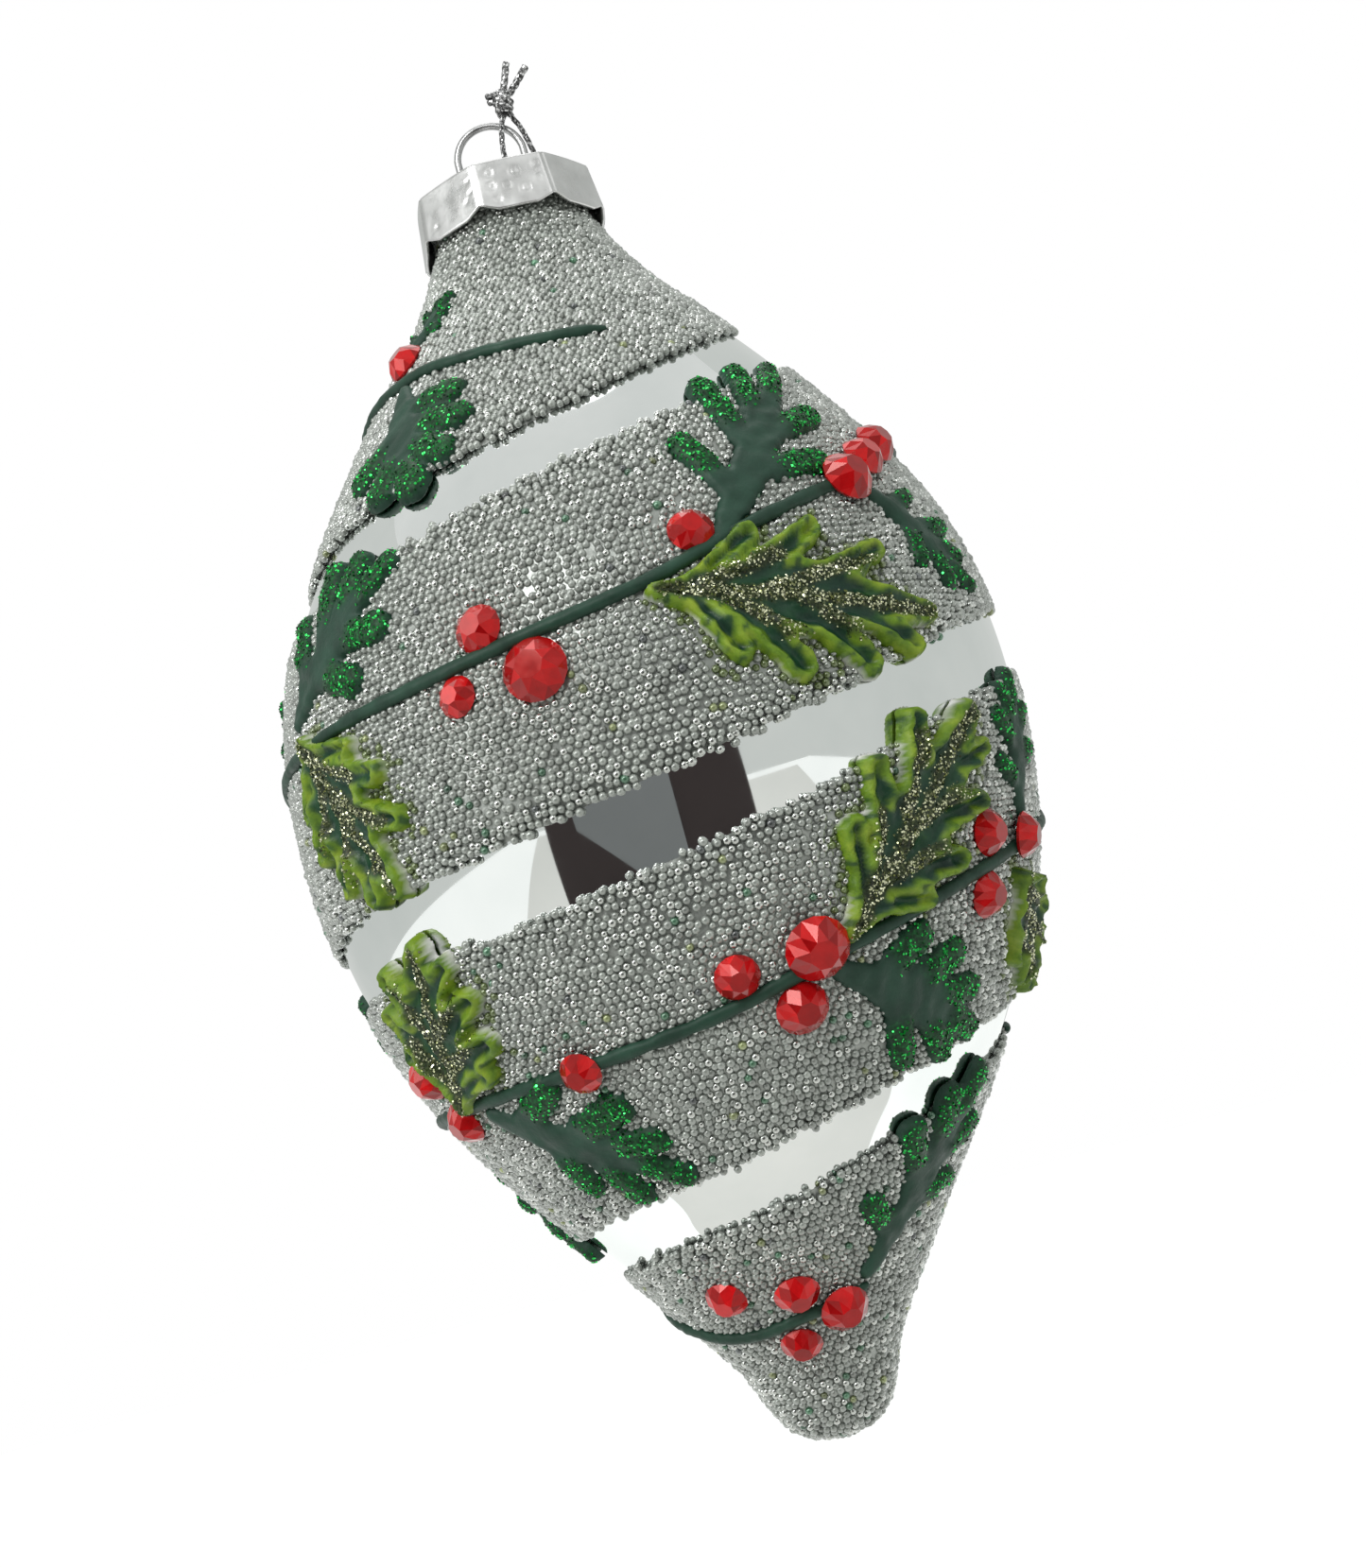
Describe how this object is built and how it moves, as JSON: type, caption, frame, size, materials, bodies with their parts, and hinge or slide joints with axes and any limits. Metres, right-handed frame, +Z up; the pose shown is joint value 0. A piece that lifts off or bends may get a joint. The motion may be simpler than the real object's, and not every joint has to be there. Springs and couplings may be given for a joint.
{
  "type": "icicle hanging ornament",
  "caption": "Mirrored glass icicle ornament with spiral bands of glass beads, a painted holly vine, red rhinestone berries, a crown cap with a wire ring and a silver cord.",
  "frame": {"origin": "the hanging point, on the underside of the ring's crown, on the ornament's axis", "axes": "+Z up along the ornament's axis from its tip to its ring, -Y towards the side with the three berries and the long leaf"},
  "size_m": [0.0778, 0.0812, 0.1513],
  "materials": {
    "mirror_glass": "blown glass, silvered inside",
    "glass_beads": "clear micro-beads glued over the mirror",
    "vine_paint": "raised relief paint",
    "leaf_clay": "painted clay with gold glitter",
    "sprig_paint": "raised relief paint with emerald glitter",
    "rhinestone_red": "faceted and polished",
    "cap_aluminium": "pressed, satin, lightly embossed",
    "ring_wire": "plated spring wire",
    "silver_cord": "braided metallic thread"
  },
  "bodies": {
    "ornament": {"glass_body": "mirror_glass", "bead_coat": "glass_beads", "vine_upper": "vine_paint", "vine_lower": "vine_paint", "holly_leaf_01": "leaf_clay", "holly_leaf_02": "leaf_clay", "holly_leaf_03": "leaf_clay", "holly_leaf_04": "leaf_clay", "holly_leaf_05": "leaf_clay", "holly_leaf_06": "leaf_clay", "holly_leaf_07": "leaf_clay", "holly_leaf_08": "leaf_clay", "sprig_01": "sprig_paint", "sprig_02": "sprig_paint", "sprig_03": "sprig_paint", "sprig_04": "sprig_paint", "sprig_05": "sprig_paint", "sprig_06": "sprig_paint", "sprig_07": "sprig_paint", "sprig_08": "sprig_paint", "sprig_09": "sprig_paint", "sprig_10": "sprig_paint", "sprig_11": "sprig_paint", "sprig_12": "sprig_paint", "sprig_13": "sprig_paint", "sprig_14": "sprig_paint", "sprig_15": "sprig_paint", "rhinestone_01": "rhinestone_red", "rhinestone_02": "rhinestone_red", "rhinestone_03": "rhinestone_red", "rhinestone_04": "rhinestone_red", "rhinestone_05": "rhinestone_red", "rhinestone_06": "rhinestone_red", "rhinestone_07": "rhinestone_red", "rhinestone_08": "rhinestone_red", "rhinestone_09": "rhinestone_red", "rhinestone_10": "rhinestone_red", "rhinestone_11": "rhinestone_red", "rhinestone_12": "rhinestone_red", "rhinestone_13": "rhinestone_red", "rhinestone_14": "rhinestone_red", "rhinestone_15": "rhinestone_red", "rhinestone_16": "rhinestone_red", "rhinestone_17": "rhinestone_red", "rhinestone_18": "rhinestone_red", "rhinestone_19": "rhinestone_red", "rhinestone_20": "rhinestone_red", "rhinestone_21": "rhinestone_red", "rhinestone_22": "rhinestone_red", "rhinestone_23": "rhinestone_red", "rhinestone_24": "rhinestone_red", "rhinestone_25": "rhinestone_red", "rhinestone_26": "rhinestone_red", "rhinestone_27": "rhinestone_red"},
    "cap": {"cap_shell": "cap_aluminium"},
    "hanger": {"hanging_ring": "ring_wire", "cord_loop": "silver_cord", "cord_knot": "silver_cord", "cord_tail_left": "silver_cord", "cord_tail_right": "silver_cord"}
  },
  "joints": [
    {"name": "cap_lift", "type": "slide", "parent": "ornament", "child": "cap", "axis": [0, 0, 1], "range_m": [0, 0.03]},
    {"name": "ring_rise", "type": "slide", "parent": "cap", "child": "hanger", "axis": [0, 0, 1], "range_m": [0, 0.0015]}
  ]
}
